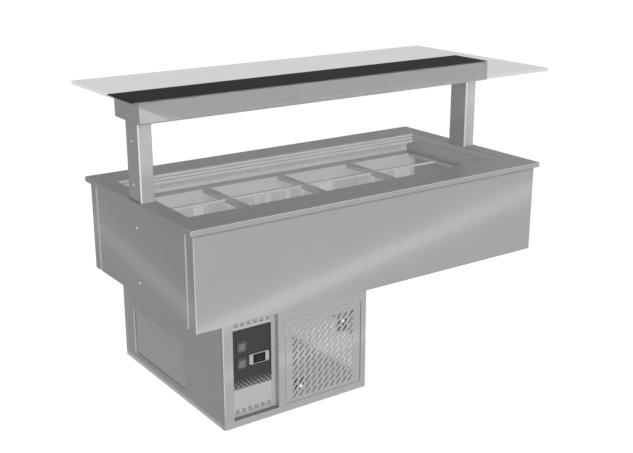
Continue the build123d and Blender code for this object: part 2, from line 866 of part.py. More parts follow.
# Front frame: stiles and rails in one sheet, folded round both front corners; the edges of the
# right-hand window turn inwards to a ledge that carries the grille
window_length = grille_width + 2 * grille_gap
window_rise = grille_height + 2 * grille_gap
with BuildPart() as front_frame:
    with BuildSketch(unit_plan):
        skin_ring(unit_length, unit_depth)
        with Locations((0, (corner_return - unit_depth) / 2)):
            Rectangle(unit_length, corner_return, mode=Mode.INTERSECT)
    extrude(amount=unit_wall)
    with BuildSketch(front_plane(unit_front)):
        with Locations((cassette_x, cassette_z)):
            Rectangle(cassette_width, cassette_height)
        with Locations((grille_x, grille_z)):
            Rectangle(window_length, window_rise)
    extrude(amount=-sheet, mode=Mode.SUBTRACT)
    with BuildSketch(front_plane(unit_front)):
        with Locations((grille_x, grille_z)):
            Rectangle(window_length + 2 * sheet, window_rise + 2 * sheet)
            Rectangle(window_length, window_rise, mode=Mode.SUBTRACT)
    extrude(amount=-grille_depth)
    with BuildSketch(front_plane(unit_front + grille_depth)):
        with Locations((grille_x, grille_z)):
            Rectangle(window_length + 2 * sheet, window_rise + 2 * sheet)
            Rectangle(grille_width - 2 * grille_ledge, grille_height - 2 * grille_ledge, mode=Mode.SUBTRACT)
    extrude(amount=-sheet)
write(front_frame.part, "front_frame")

# Left side: sheet with a window whose edges turn inwards to the access panel
side_length = unit_depth - 2 * corner_return
access_length = unit_depth - access_front - access_back
access_y = unit_front + access_front + access_length / 2
access_z = access_bottom + access_height / 2
inward = Plane(origin=(unit_left, 0, 0), x_dir=(0, 1, 0), z_dir=(1, 0, 0))
with BuildPart() as left_side:
    with BuildSketch(inward):
        with Locations((unit_centre_y, base_sheet + unit_wall / 2)):
            Rectangle(side_length, unit_wall)
        with Locations((access_y, access_z)):
            Rectangle(access_length, access_height, mode=Mode.SUBTRACT)
    extrude(amount=sheet)
    with BuildSketch(inward):
        with Locations((access_y, access_z)):
            Rectangle(access_length + 2 * sheet, access_height + 2 * sheet)
            Rectangle(access_length, access_height, mode=Mode.SUBTRACT)
    extrude(amount=access_depth)
write(left_side.part, "left_side")

# Access panel: closes the recess from inside
with BuildPart() as access_panel:
    with BuildSketch(inward.offset(access_depth)):
        with Locations((access_y, access_z)):
            Rectangle(access_length + 2 * sheet, access_height + 2 * sheet)
    extrude(amount=sheet)
write(access_panel.part, "access_panel")

# Back and right walls of the unit in one folded sheet, slotted at the back, with the gland hole
with BuildPart() as unit_wrap:
    with BuildSketch(unit_plan):
        skin_ring(unit_length, unit_depth)
        with Locations((0, (corner_return - unit_depth) / 2)):
            Rectangle(unit_length, corner_return, mode=Mode.SUBTRACT)
        with Locations(((bend_radius - unit_length) / 2, 0)):
            Rectangle(bend_radius, side_length, mode=Mode.SUBTRACT)
    extrude(amount=unit_wall)
    with BuildSketch(front_plane(unit_back)):
        with Locations((-unit_offset, rear_slot_height)):
            slanted_slots(rear_slot_columns, rear_slot_rows)
        with Locations((gland_x, gland_z)):
            Circle(gland_radius + screw_clearance)
    extrude(amount=sheet, mode=Mode.SUBTRACT)
write(unit_wrap.part, "unit_wrap")

# Gland for the supply cable, nut outside and nut inside
with BuildPart() as cable_gland:
    gland_plane = Plane(origin=(gland_x, unit_back, gland_z), x_dir=(-1, 0, 0), z_dir=(0, 1, 0))
    with BuildSketch(gland_plane.offset(-(sheet + gland_nut_length))):
        Circle(gland_radius)
    extrude(amount=sheet + gland_nut_length + gland_length)
    with BuildSketch(gland_plane):
        RegularPolygon(gland_nut_radius, 6)
    extrude(amount=gland_nut_length)
    with BuildSketch(gland_plane.offset(-sheet)):
        RegularPolygon(gland_nut_radius, 6)
    extrude(amount=-gland_nut_length)
    with BuildSketch(gland_plane.offset(gland_length)):
        Circle(gland_bore)
    extrude(amount=-(gland_length + sheet + gland_nut_length), mode=Mode.SUBTRACT)
write(cable_gland.part, "cable_gland")

# Control cassette: open tray behind the frame, vented, with the cut-outs for the controls
with BuildPart() as control_cassette:
    with BuildSketch(front_plane(cassette_face + sheet)):
        with Locations((cassette_x, cassette_z)):
            Rectangle(cassette_width + 2 * sheet, cassette_height + 2 * sheet)
    extrude(amount=cassette_recess)
    with BuildSketch(front_plane(cassette_face)):
        with Locations((cassette_x, cassette_z)):
            Rectangle(cassette_width, cassette_height)
    extrude(amount=cassette_recess, mode=Mode.SUBTRACT)
    with BuildSketch(front_plane(cassette_face)):
        for vent_z in (bottom_rail + vent_edge, label_top + vent_edge):
            with Locations((cassette_x, vent_z)):
                with GridLocations(vent_pitch, vent_row_pitch, vent_columns, vent_rows):
                    SlotOverall(vent_length, vent_width)
        with Locations((switch_x, switch_z), (switch_x, switch_z - switch_pitch)):
            Rectangle(switch_body_width + 2 * cutout_clearance, switch_body_height + 2 * cutout_clearance)
        with Locations((controller_x, controller_z)):
            Rectangle(
                controller_body_width + 2 * cutout_clearance, controller_body_height + 2 * cutout_clearance
            )
    extrude(amount=-sheet, mode=Mode.SUBTRACT)
write(control_cassette.part, "control_cassette")

# Black label on the cassette's face
with BuildPart() as control_label:
    with BuildSketch(front_plane(cassette_face)):
        with Locations((cassette_x, label_bottom + label_height / 2)):
            Rectangle(label_width, label_height)
        with Locations((switch_x, switch_z), (switch_x, switch_z - switch_pitch)):
            Rectangle(
                switch_body_width + 2 * cutout_clearance,
                switch_body_height + 2 * cutout_clearance,
                mode=Mode.SUBTRACT,
            )
        with Locations((controller_x, controller_z)):
            Rectangle(
                controller_body_width + 2 * cutout_clearance,
                controller_body_height + 2 * cutout_clearance,
                mode=Mode.SUBTRACT,
            )
    extrude(amount=label_thickness)
write(control_label.part, "control_label")

pocket_half = rocker_half_height + rocker_end_clearance
pocket_depth = pivot_depth + rocker_tail + rocker_end_clearance
switch_front = label_face - switch_flange
pivot_y = switch_front + pivot_depth

# Switch bodies: frame on the label, body behind it and the pocket for the rocker
with BuildPart() as switch_bodies:
    switch_places = Locations((switch_x, switch_z), (switch_x, switch_z - switch_pitch))
    with BuildSketch(front_plane(label_face)):
        with switch_places:
            Rectangle(switch_width, switch_height)
    extrude(amount=switch_flange)
    fillet(switch_bodies.edges().filter_by(Axis.Y), switch_corner_radius)
    fillet(switch_bodies.edges().group_by(Axis.Y)[0], switch_edge_radius)
    with BuildSketch(front_plane(label_face)):
        with Locations((switch_x, switch_z), (switch_x, switch_z - switch_pitch)):
            Rectangle(switch_body_width, switch_body_height)
    extrude(amount=-switch_body_depth)
    with BuildSketch(front_plane(switch_front)):
        with Locations((switch_x, switch_z), (switch_x, switch_z - switch_pitch)):
            Rectangle(rocker_width + 2 * rocker_side_clearance, 2 * pocket_half)
    extrude(amount=-pocket_depth, mode=Mode.SUBTRACT)
    with BuildSketch(Plane.YZ.offset(switch_x)):
        with Locations((pivot_y, switch_z), (pivot_y, switch_z - switch_pitch)):
            Circle(pivot_radius + shaft_clearance)
    extrude(amount=switch_body_width / 2, both=True, mode=Mode.SUBTRACT)
write(switch_bodies.part, "switch_bodies")


def rocker(z):
    """Rocker in its off position, with a dished front and two pivot stubs."""
    lean = radians(rocker_tilt)
    tilted = Plane(
        origin=(switch_x, pivot_y, z), x_dir=(0, -cos(lean), -sin(lean)), z_dir=(-1, 0, 0)
    )
    with BuildPart() as key:
        with BuildSketch(tilted):
            with BuildLine():
                Polyline(
                    (-rocker_tail, -rocker_tail_half),
                    (0, -rocker_half_height),
                    (rocker_nose, -rocker_half_height),
                    (rocker_dip, 0),
                    (rocker_nose, rocker_half_height),
                    (0, rocker_half_height),
                    (-rocker_tail, rocker_tail_half),
                    close=True,
                )
            make_face()
        extrude(amount=rocker_width / 2, both=True)
        with BuildSketch(tilted):
            Circle(pivot_radius)
        extrude(amount=rocker_width / 2 + pivot_length, both=True)
    return key.part


write(rocker(switch_z), "rocker_upper")
write(rocker(switch_z - switch_pitch), "rocker_lower")

controller_front = label_face - controller_depth
key_places = [
    (controller_x + step_x * key_spread_x, controller_z + step_z * key_spread_z)
    for step_x in (LEFT, RIGHT)
    for step_z in (1, -1)
]

# Temperature controller: bezel on the label, body behind, window rebate and key pockets
with BuildPart() as controller:
    with BuildSketch(front_plane(label_face)):
        with Locations((controller_x, controller_z)):
            RectangleRounded(controller_width, controller_height, controller_depth)
    extrude(amount=controller_depth)
    with BuildSketch(front_plane(label_face)):
        with Locations((controller_x, controller_z)):
            Rectangle(controller_body_width, controller_body_height)
    extrude(amount=-controller_body_depth)
    with BuildSketch(front_plane(controller_front)):
        with Locations((controller_x, controller_z)):
            Rectangle(window_width, window_height)
    extrude(amount=-window_thickness, mode=Mode.SUBTRACT)
    with BuildSketch(front_plane(controller_front)):
        with Locations(*key_places):
            Rectangle(key_width + 2 * key_clearance, key_height + 2 * key_clearance)
    extrude(amount=-key_pocket, mode=Mode.SUBTRACT)
write(controller.part, "controller")

with BuildPart() as controller_window:
    with BuildSketch(front_plane(controller_front)):
        with Locations((controller_x, controller_z)):
            Rectangle(window_width, window_height)
    extrude(amount=-window_thickness)
write(controller_window.part, "controller_window")

for number, place in enumerate(key_places, start=1):
    with BuildPart() as key_cap:
        with BuildSketch(front_plane(controller_front - key_proud)):
            with Locations(place):
                RectangleRounded(key_width, key_height, key_proud)
        extrude(amount=-key_length)
        fillet(key_cap.faces().sort_by(Axis.Y)[0].edges(), key_proud / 2)
    write(key_cap.part, f"controller_key_{number}")

# Electrical box behind the cassette
with BuildPart() as electrical_box:
    box_face = front_plane(cassette_face + sheet)
    with BuildSketch(box_face):
        with Locations((cassette_x, electric_box_bottom + electric_box_height / 2)):
            Rectangle(electric_box_width, electric_box_height)
    extrude(amount=-electric_box_depth)
    with BuildSketch(box_face):
        with Locations((cassette_x, electric_box_bottom + electric_box_height / 2)):
            Rectangle(electric_box_width - 2 * sheet, electric_box_height - 2 * sheet)
    extrude(amount=-(electric_box_depth - sheet), mode=Mode.SUBTRACT)
write(electrical_box.part, "electrical_box")

# Slotted grille: a shallow tray in the frame's right-hand window, flush with the frame
grille_screws = [
    (grille_x + grille_screw_shift - grille_screw_x, grille_z - grille_screw_z),
    (grille_x + grille_screw_shift + grille_screw_x, grille_z + grille_screw_z),
]
with BuildPart() as condenser_grille:
    with BuildSketch(front_plane(unit_front + grille_depth)):
        with Locations((grille_x, grille_z)):
            Rectangle(grille_width, grille_height)
    extrude(amount=grille_depth)
    fillet(condenser_grille.edges().group_by(Axis.Y)[0], grille_edge_radius)
    offset(amount=-sheet, openings=condenser_grille.faces().sort_by(Axis.Y)[-1])
    with BuildSketch(front_plane(unit_front + sheet)):
        with Locations((grille_x + grille_slot_shift_x, grille_z + grille_slot_shift_z)):
            slanted_slots(grille_slot_columns, grille_slot_rows)
        with Locations(*grille_screws):
            Circle(screw_head_radius * 2, mode=Mode.SUBTRACT)
            Circle(screw_radius + screw_clearance)
    extrude(amount=sheet, mode=Mode.SUBTRACT)
write(condenser_grille.part, "condenser_grille")

# Condenser on the unit's base, behind the grille
condenser_coil = finned_coil(
    (grille_x, condenser_front + condenser_depth / 2, base_sheet),
    condenser_width,
    condenser_depth,
    condenser_height - coil_lift,
    condenser_fin_pitch,
    condenser_tube_columns,
    condenser_tube_rows,
)
write(condenser_coil, "condenser_coil")

# Shroud: open box on the back of the condenser with the fan's hole in its back
shroud_back = shroud_y + shroud_depth
with BuildPart() as fan_shroud:
    with BuildSketch(front_plane(shroud_back)):
        with Locations((grille_x, condenser_fan_z)):
            Rectangle(condenser_width, condenser_height)
    extrude(amount=shroud_depth)
    with BuildSketch(front_plane(shroud_back - sheet)):
        with Locations((grille_x, condenser_fan_z)):
            Rectangle(condenser_width - 2 * sheet, condenser_height - 2 * sheet)
    extrude(amount=shroud_depth, mode=Mode.SUBTRACT)
    with BuildSketch(front_plane(shroud_back)):
        with Locations((grille_x, condenser_fan_z)):
            Circle(condenser_fan_radius + tip_clearance)
    extrude(amount=sheet, mode=Mode.SUBTRACT)
write(fan_shroud.part, "fan_shroud")

condenser_motor = fan_motor(
    grille_x,
    condenser_fan_z,
    shroud_back,
    BACK,
    condenser_motor_radius,
    condenser_motor_length,
    condenser_fan_radius,
)
write(condenser_motor, "condenser_motor")
condenser_fan = fan_rotor(
    grille_x,
    condenser_fan_z,
    shroud_back,
    BACK,
    condenser_fan_radius,
    condenser_motor_radius * hub_share_of_motor,
)
write(condenser_fan, "condenser_fan")

# Compressor: domed shell on a plate with four feet, with its suction and discharge stubs
with BuildPart() as compressor:
    plate_plane = Plane(origin=(compressor_x, compressor_y, base_sheet + compressor_foot))
    foot_pitch = compressor_plate_size - 2 * compressor_plate_corner
    with BuildSketch(plate_plane):
        RectangleRounded(compressor_plate_size, compressor_plate_size, compressor_plate_corner)
    extrude(amount=compressor_plate)
    with BuildSketch(plate_plane):
        with GridLocations(foot_pitch, foot_pitch, 2, 2):
            Circle(compressor_foot_radius)
    extrude(amount=-compressor_foot)
    with BuildSketch(front_plane(compressor_y)) as half_shell:
        with Locations((compressor_x, compressor_base)):
            Rectangle(compressor_radius, compressor_shell, align=(Align.MIN, Align.MIN))
        fillet(half_shell.vertices().group_by(Axis.X)[-1].sort_by(Axis.Y)[-1], compressor_dome)
    revolve(axis=Axis((compressor_x, compressor_y, 0), (0, 0, 1)))
    stub_start = (compressor_x, compressor_y, suction_height)
    stub_plane = Plane(origin=stub_start, x_dir=(0, 1, 0), z_dir=(-1, 0, 0))
    with BuildSketch(stub_plane):
        Circle(stub_radius)
    extrude(amount=compressor_radius + stub_length)
    with BuildSketch(Plane(origin=(compressor_x, compressor_y, compressor_top))):
        Circle(stub_radius)
    extrude(amount=stub_length)
write(compressor.part, "compressor")


def pipe(points, radius):
    """Tube bent through the given corners."""
    with BuildPart() as tube:
        with BuildLine() as route:
            FilletPolyline(*points, radius=pipe_bend)
        with BuildSketch(Plane(origin=route.line @ 0, z_dir=route.line % 0)):
            Circle(radius)
        sweep()
    return tube.part


coil_left = -coil_length / 2
suction = pipe(
    [
        (coil_left, suction_y, evaporator_fan_z),
        (pipe_run_x, suction_y, evaporator_fan_z),
        (pipe_run_x, suction_y, suction_height),
        (compressor_x - compressor_radius - stub_length, suction_y, suction_height),
    ],
    suction_radius,
)
discharge_x = grille_x - condenser_width / 4
discharge_y = condenser_front + condenser_depth / 2
discharge_top = unit_height - discharge_clearance
discharge = pipe(
    [
        (compressor_x, compressor_y, compressor_top + stub_length),
        (compressor_x, compressor_y, discharge_top),
        (compressor_x, discharge_y, discharge_top),
        (discharge_x, discharge_y, discharge_top),
        (discharge_x, discharge_y, base_sheet + condenser_height),
    ],
    discharge_radius,
)
liquid = pipe(
    [
        (coil_left, liquid_y, evaporator_fan_z),
        (pipe_run_x, liquid_y, evaporator_fan_z),
        (pipe_run_x, liquid_y, liquid_height),
        (pipe_run_x, discharge_y, liquid_height),
        (grille_x - condenser_width / 2, discharge_y, liquid_height),
    ],
    liquid_radius,
)
write(Part() + suction + discharge + liquid, "refrigerant_pipes")

# Screws with low domed heads: body ends, posts and grille
screw_planes = []
for side in (LEFT, RIGHT):
    for screw_z in (unit_height + end_screw_low, unit_height + end_screw_high):
        place = (side * body_length / 2, end_screw_y, screw_z)
        screw_planes.append((Plane(origin=place, z_dir=(side, 0, 0)), sheet))
    for screw_z in (rim_top + post_screw_height, canopy_bottom - post_screw_drop):
        place = (side * (post_centre_x + post_width / 2), post_shift, screw_z)
        reach = post_wall + spigot_clearance + spigot_wall
        screw_planes.append((Plane(origin=place, z_dir=(side, 0, 0)), reach))
for screw_x, screw_z in grille_screws:
    screw_planes.append((Plane(origin=(screw_x, unit_front, screw_z), z_dir=(0, -1, 0)), sheet))
with BuildPart() as panel_screws:
    for screw_plane, reach in screw_planes:
        with BuildSketch(screw_plane):
            Circle(screw_head_radius)
        extrude(amount=screw_head_height)
        with BuildSketch(screw_plane):
            Circle(screw_radius)
        extrude(amount=-reach)
write(panel_screws.part, "panel_screws")
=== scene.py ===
# %% [markdown]
# # A refrigerated serving counter
# The solids of the counter come from the CAD model and already have their real sizes, in metres.
# This lesson gives each of them the finish that its real material has, adds the one small piece that
# is easier to make as a mesh, and lights the result like a catalogue picture on a white sweep.

import bmesh
import bpy
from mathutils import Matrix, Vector


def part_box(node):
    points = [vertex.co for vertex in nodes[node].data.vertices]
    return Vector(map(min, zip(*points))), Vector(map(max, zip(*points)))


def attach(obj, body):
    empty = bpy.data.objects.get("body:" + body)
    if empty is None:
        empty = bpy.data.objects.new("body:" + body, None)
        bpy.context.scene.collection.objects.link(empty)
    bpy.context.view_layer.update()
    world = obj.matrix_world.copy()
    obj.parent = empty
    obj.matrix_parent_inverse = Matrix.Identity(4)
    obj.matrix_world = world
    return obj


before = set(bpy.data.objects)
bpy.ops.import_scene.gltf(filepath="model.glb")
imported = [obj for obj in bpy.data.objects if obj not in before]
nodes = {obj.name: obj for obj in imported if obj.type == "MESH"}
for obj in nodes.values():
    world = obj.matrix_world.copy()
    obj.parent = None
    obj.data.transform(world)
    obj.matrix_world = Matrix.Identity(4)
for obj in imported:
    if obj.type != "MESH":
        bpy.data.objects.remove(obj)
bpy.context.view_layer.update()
scene = bpy.context.scene

# %% [markdown]
# ## Sums with sockets
# A procedural finish is mostly arithmetic: a mask times a strength, plus a base value. Math nodes can
# be placed one by one, but the sums are easier to read as Python. `Wire` holds one output socket and
# turns `+ - * **` into Math nodes, also with a plain number on the left, so `1 - mask` works.


# %% A wire that can be used in sums
class Wire:
    def __init__(self, graph, socket):
        self.graph = graph
        self.socket = socket

    def sum(self, operation, *values):
        return self.graph.add("ShaderNodeMath", {"operation": operation}, dict(enumerate(values)))

    def __add__(self, other):
        return self.sum("ADD", self, other)

    __radd__ = __add__

    def __mul__(self, other):
        return self.sum("MULTIPLY", self, other)

    __rmul__ = __mul__

    def __sub__(self, other):
        return self.sum("SUBTRACT", self, other)

    def __rsub__(self, other):
        return self.sum("SUBTRACT", other, self)

    def __pow__(self, other):
        return self.sum("POWER", self, other)

    def most(self, other):
        return self.sum("MAXIMUM", self, other)

    def size(self):
        return self.sum("ABSOLUTE", self)

    def sine(self):
        return self.sum("SINE", self)

    def fraction(self):
        return self.sum("FRACT", self)


print("a wire knows", [word for word in vars(Wire) if not word.startswith("_")])

# %% [markdown]
# ## The graph that the wires live in
# Every node that is not a sum comes from `Graph.add`, which sets a node's settings first and then its
# inputs. The other methods are the few nodes that all finishes share: a soft step, a blend of two
# colours, the place on the object, noise, the direction a face looks in, and bump.

# %% A graph of nodes
EVEN, ORIGIN = (1.0, 1.0, 1.0), (0.0, 0.0, 0.0)


class Graph:
    def __init__(self, tree):
        self.tree = tree
        tree.nodes.clear()

    def put(self, socket, value):
        if isinstance(value, Wire):
            self.tree.links.new(value.socket, socket)
        else:
            socket.default_value = value

    def add(self, kind, settings=None, inputs=None, out=0):
        node = self.tree.nodes.new(kind)
        for name, value in (settings or {}).items():
            setattr(node, name, value)
        for name, value in (inputs or {}).items():
            self.put(node.inputs[name], value)
        return Wire(self, node.outputs[out])

    def range(self, value, low, high, new_low=0.0, new_high=1.0):
        inputs = {0: value, 1: low, 2: high, 3: new_low, 4: new_high}
        return self.add("ShaderNodeMapRange", {"interpolation_type": "SMOOTHSTEP"}, inputs)

    def blend(self, factor, first, second):
        return self.add("ShaderNodeMix", {"data_type": "RGBA"}, {0: factor, 6: first, 7: second}, 2)

    def place(self, stretch=EVEN, shift=ORIGIN):
        here = self.add("ShaderNodeTexCoord", out=3)
        inputs = {"Vector": here, "Location": shift, "Scale": stretch}
        return self.add("ShaderNodeMapping", None, inputs)

    def noise(self, scale, detail=3.0, stretch=EVEN, shift=ORIGIN):
        inputs = {"Vector": self.place(stretch, shift), "Scale": scale, "Detail": detail}
        return self.add("ShaderNodeTexNoise", {"normalize": True}, inputs)

    def along(self, vector, axis):
        return self.add("ShaderNodeSeparateXYZ", None, {0: vector}, "XYZ".index(axis))

    def coordinate(self, axis):
        return self.along(self.place(), axis)

    def facing(self, axis):
        return self.along(self.add("ShaderNodeNewGeometry", out=3), axis)

    def bump(self, strength, distance, height, **more):
        inputs = {"Strength": strength, "Distance": distance, "Height": height}
        return self.add("ShaderNodeBump", None, {**inputs, **more})


print("a graph knows", [word for word in vars(Graph) if not word.startswith("_")])

# %% [markdown]
# ## A finish and how it is put on
# Every finish here is a Principled shader. Numbers that are the same all over are written on its own
# sockets by `start_finish`; what varies over the surface is linked by `feed`. `dress` hands one finish
# to a list of solids.


# %% Start a finish, feed it, put it on
def socket_name(word):
    return word.replace("_", " ").title().replace("Ior", "IOR")


def start_finish(name, **constants):
    material = bpy.data.materials.new(name)
    material.use_nodes = True
    graph = Graph(material.node_tree)
    shader = graph.tree.nodes.new("ShaderNodeBsdfPrincipled")
    output = graph.tree.nodes.new("ShaderNodeOutputMaterial")
    graph.tree.links.new(shader.outputs[0], output.inputs[0])
    for word, value in constants.items():
        shader.inputs[socket_name(word)].default_value = value
    return material, graph, shader


def feed(graph, shader, **varying):
    for word, value in varying.items():
        graph.put(shader.inputs[socket_name(word)], value)


def dress(material, *names):
    for name in names:
        nodes[name].data.materials.clear()
        nodes[name].data.materials.append(material)
    print(material.name, "on", len(names), "solids")


def rgb(red, green, blue):
    return (red, green, blue, 1.0)


def grey(level):
    return rgb(level, 1.004 * level, 1.012 * level)


print("steel grey at one half is", grey(0.5))

# %% [markdown]
# ## Brushed stainless steel
# Almost all of the counter is folded stainless sheet with a fine linear grain. The grain could be
# drawn by stretching one noise far along the brushing direction. A second, broad noise gives the
# cloudy handling marks that make the reflections waver. Both stay faint: on the real sheet they are
# seen in the gloss more than in the colour. The brushing also scatters a little light, so the sheet is
# not a pure mirror. A bevelled normal finds the folded edges, and the sheet is painted a little
# lighter there, as a painted highlight along the folds.

# %% Stainless sheet, by grain direction
GRAIN = {"x": (2.0, 260.0, 260.0), "y": (260.0, 2.0, 260.0), "z": (260.0, 260.0, 2.0)}
CLOUD_SHIFT = (0.3, 0.7, 0.1)


def stainless(name, axis, base=0.34, metal=0.6, sheen=0.1, fold=0.0015):
    material, graph, shader = start_finish(name, metallic=metal)
    grain = graph.noise(4.0, 2.0, GRAIN[axis])
    cloud = graph.noise(5.0, 3.0, shift=CLOUD_SHIFT)
    rounded = graph.add("ShaderNodeBevel", {"samples": 4}, {"Radius": fold})
    flat = graph.add("ShaderNodeNewGeometry", out=1)
    both = {0: rounded, 1: flat}
    agreement = graph.add("ShaderNodeVectorMath", {"operation": "DOT_PRODUCT"}, both, 1)
    fold_highlight = graph.range(agreement, 0.995, 0.8)
    worn = graph.blend(0.25 * grain + 0.5 * cloud, grey(0.93 * base), grey(1.07 * base))
    # painted highlight: the sheet is painted lighter along its folded edges
    colour = graph.blend(0.5 * fold_highlight, worn, grey(1.6 * base))
    feed(
        graph,
        shader,
        base_color=colour,
        roughness=sheen + 0.03 * cloud + 0.02 * grain,
        normal=graph.bump(0.05, 0.0002, grain, Normal=rounded),
    )
    return material, graph, shader, colour


def plain_steel(*settings, **more):
    return stainless(*settings, **more)[0]


dress(plain_steel("stainless_canopy", "x", 0.41), "canopy_housing", "unit_wrap")
dress(plain_steel("stainless_side", "y", 0.36), "canopy_ends")
dress(plain_steel("stainless_access", "y", 0.41), "access_panel")
dress(plain_steel("stainless_tank", "x", 0.48, 0.2, 0.3), "well_tank", "return_duct", "fan_plate")
dress(plain_steel("stainless_screw", "z", 0.85, 1.0, fold=0.0006), "panel_screws")

# %% [markdown]
# ## Posts
# The two posts are folded round their corners in a wide curve, and the curve at the front left shows a
# bright upright line. Another lamp could draw that line, but it would light other folds too. The
# product of a face's two sideways directions is large only on that curve and the one opposite, so it
# makes a mask for a painted highlight: the steel is painted paler there.

# %% Posts with a painted highlight on the rolled corner
post, graph, shader, colour = stainless("stainless_post", "z", 0.37, 0.12)
# painted highlight: the rolled front left curve is painted paler
rolled_highlight = graph.range(2 * graph.facing("X") * graph.facing("Y"), 0.3, 0.9)
feed(graph, shader, base_color=graph.blend(rolled_highlight, colour, grey(0.66)))
dress(post, "left_post", "right_post", "post_spigots")

# %% [markdown]
# ## Where the folded sides are
# The belt that brushes a sheet reaches its face, not the sides that are folded in. Those keep the dull
# mill finish, and they are painted paler than the face, as painted light. They could be split off as
# faces with a finish of their own, but the solids stay as they are, so each sheet gets a mask instead:
# how deep a point lies behind the sheet's face, how near it is to an opening, or which way its face
# looks.

# %% Masks for the sides that are folded in
side_low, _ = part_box("left_side")
_, rim_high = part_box("counter_rim")
body_low, body_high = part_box("front_panel")
grille_low, grille_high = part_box("condenser_grille")
FOLD_START, FOLD_FULL = 0.0004, 0.0014
OPENING_X, OPENING_Y, OPENING_SOFT = 0.74, 0.385, 0.005
HEM_START, HEM_FULL = 0.02, 0.025
WINDOW_START, WINDOW_FULL = 0.02, 0.015


def opening_sides(graph):
    below = graph.range(graph.coordinate("Z"), rim_high.z - 0.001, rim_high.z - 0.004)
    across = graph.coordinate("X").size()
    deep = graph.coordinate("Y").size()
    inside_x = graph.range(across, OPENING_X + OPENING_SOFT, OPENING_X - OPENING_SOFT)
    inside_y = graph.range(deep, OPENING_Y + OPENING_SOFT, OPENING_Y - OPENING_SOFT)
    return below * inside_x * inside_y


def hems(graph):
    across = graph.coordinate("X").size()
    deep = graph.coordinate("Y").size()
    behind = graph.range(across, body_high.x - FOLD_START, body_high.x - FOLD_FULL)
    return behind * graph.range(deep, -body_low.y - HEM_START, -body_low.y - HEM_FULL)


def window_sides(graph):
    across = graph.coordinate("X")
    behind = graph.range(graph.coordinate("Y"), grille_low.y + FOLD_START, grille_low.y + FOLD_FULL)
    left = graph.range(across, grille_low.x - WINDOW_START, grille_low.x - WINDOW_FULL)
    right = graph.range(across, grille_high.x + WINDOW_START, grille_high.x + WINDOW_FULL)
    return behind * left * right


def recess_sides(graph):
    return graph.range(graph.coordinate("X"), side_low.x + FOLD_START, side_low.x + FOLD_FULL)


def upright_walls(graph):
    return graph.range(graph.facing("Z").size(), 0.8, 0.5)


print("rim top", rim_high.z, "body half length", body_high.x, "grille face", grille_low.y)

# %% [markdown]
# ## The rim
# The deck is one brushed sheet with a rolled edge, a lip that turns down round the well, and a deeper
# grooved fascia along the back of the well. The deck is rougher and less metallic than the rolled
# edge, and where it faces up it is painted darker, as painted shade. The rolled edge is found by the
# faces that look partly upwards and gets a painted highlight. The fascia's grooves get painted shade
# from ambient occlusion, which costs little here because it only looks 5 mm far. The lips round the
# opening are a dull mill finish, painted pale as painted light.

# %% Deck, rolled edge, lips and fascia
RIM_METAL = 0.6
FASCIA_START, FASCIA_FULL = 0.27, 0.274
rim, graph, shader, colour = stainless("stainless_rim", "x", 0.33, RIM_METAL, fold=0.0025)
inside, deck_rough_and_shaded = opening_sides(graph), 1 - upright_walls(graph)
# painted shade: the deck faces that look up are painted darker
deck_shaded_colour = graph.blend(deck_rough_and_shaded, colour, grey(0.235))
upward = graph.facing("Z")
# painted highlight: the rolled edge is painted paler
rolled_highlight = graph.range(upward, 0.1, 0.35) * graph.range(upward, 0.98, 0.8)
edge_highlighted = graph.blend(0.4 * rolled_highlight, deck_shaded_colour, grey(0.6))
# painted shade: the fascia's grooves are painted darker from ambient occlusion
groove_occlusion = graph.add("ShaderNodeAmbientOcclusion", {"samples": 8}, {"Distance": 0.005}, "AO")
painted_groove_shade = graph.blend(graph.range(groove_occlusion, 0.9, 0.5), grey(0.45), grey(0.2))
back = graph.range(graph.coordinate("Y"), FASCIA_START, FASCIA_FULL)
# painted light: the lips round the opening are painted pale
lips_painted_pale = graph.blend(back, grey(0.48), painted_groove_shade)
gloss = Wire(graph, shader.inputs["Roughness"].links[0].from_socket)
feed(
    graph,
    shader,
    base_color=graph.blend(inside, edge_highlighted, lips_painted_pale),
    metallic=RIM_METAL - 0.5 * inside.most(0.6 * deck_rough_and_shaded),
    roughness=gloss + 0.25 * deck_rough_and_shaded,
)
dress(rim, "counter_rim")

# %% [markdown]
# ## Sheets with two sides
# The end panels show hems in their grooves, the unit's front a turned-in window round the grille, the
# left side a recess, and the pan bars dull flanks. They all are the same steel with one mask: it takes
# the mirror away and pales the colour, and the paler colour is painted light on these sides. One
# function does it for any mask.

# %% End panels, unit front, left side and pan bars
MILL_METAL = 0.1


def two_sided(name, axis, base, metal, folded, inner):
    material, graph, shader, colour = stainless(name, axis, base, metal)
    mask = folded(graph)
    # painted light: the masked sides are painted paler than the brushed face
    pale = graph.blend(mask, colour, grey(inner))
    feed(graph, shader, base_color=pale, metallic=metal + (MILL_METAL - metal) * mask)
    return material


end_steel = two_sided("stainless_ends", "y", 0.34, 0.6, hems, 0.5)
unit_steel = two_sided("stainless_unit", "x", 0.34, 0.4, window_sides, 0.5)
left_steel = two_sided("stainless_left", "y", 0.36, 0.6, recess_sides, 0.45)
bar_steel = two_sided("stainless_bar", "y", 0.32, 0.4, upright_walls, 0.48)
dress(end_steel, "left_end_panel", "right_end_panel")
dress(unit_steel, "front_frame", "condenser_grille")
dress(left_steel, "left_side")
long_bars = [f"column_bar_{n}" for n in range(1, 6)]
cross_bars = [f"row_bar_{n}" for n in range(1, 5)]
dress(bar_steel, *long_bars, *cross_bars)

# %% [markdown]
# ## Control cassette
# The cassette is a shallow tray behind the unit's front. Its lower ledge faces up and lies in deep
# shade on the real counter. A lamp that leaves out just this ledge would be hard to place, so the
# faces that look up are written darker.

# %% Cassette with a dark ledge
cassette, graph, shader, colour = stainless("stainless_cassette", "x", 0.39, 0.12)
ledge = graph.range(graph.facing("Z"), 0.5, 0.8)
feed(graph, shader, base_color=graph.blend(0.8 * ledge, colour, grey(0.1)))
dress(cassette, "control_cassette")
